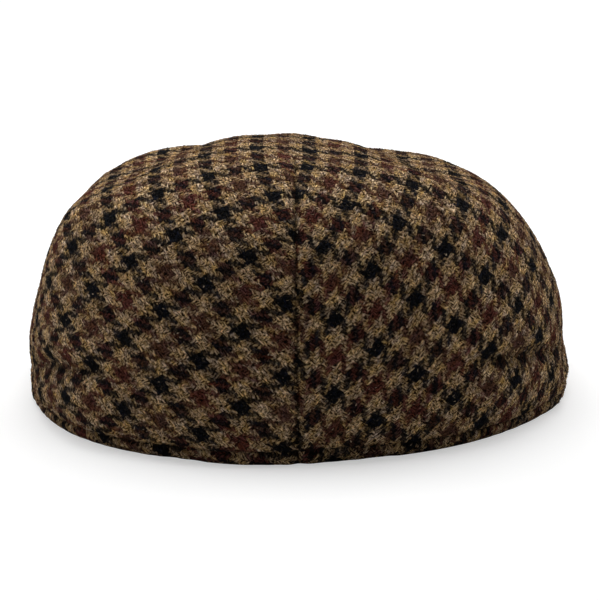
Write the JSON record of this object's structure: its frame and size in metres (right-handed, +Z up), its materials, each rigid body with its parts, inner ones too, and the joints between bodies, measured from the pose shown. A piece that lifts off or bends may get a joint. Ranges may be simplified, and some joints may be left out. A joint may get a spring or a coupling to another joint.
{
  "type": "flat cap",
  "caption": "Soft flat cap in checked tweed: a one-piece crown with a centre back seam and turned hem, sewn down over a stiff cloth-covered peak",
  "frame": {"origin": "on the table, under the middle of the whole cap's box", "axes": "+Z up; the peak points along -Y and the centre back seam faces +Y; +X is the wearer's left"},
  "size_m": [0.199, 0.2454, 0.0977],
  "materials": {
    "tweed": "matt woollen twill in a gun club check"
  },
  "bodies": {
    "root": {"crown": "tweed", "peak": "tweed"}
  },
  "joints": []
}
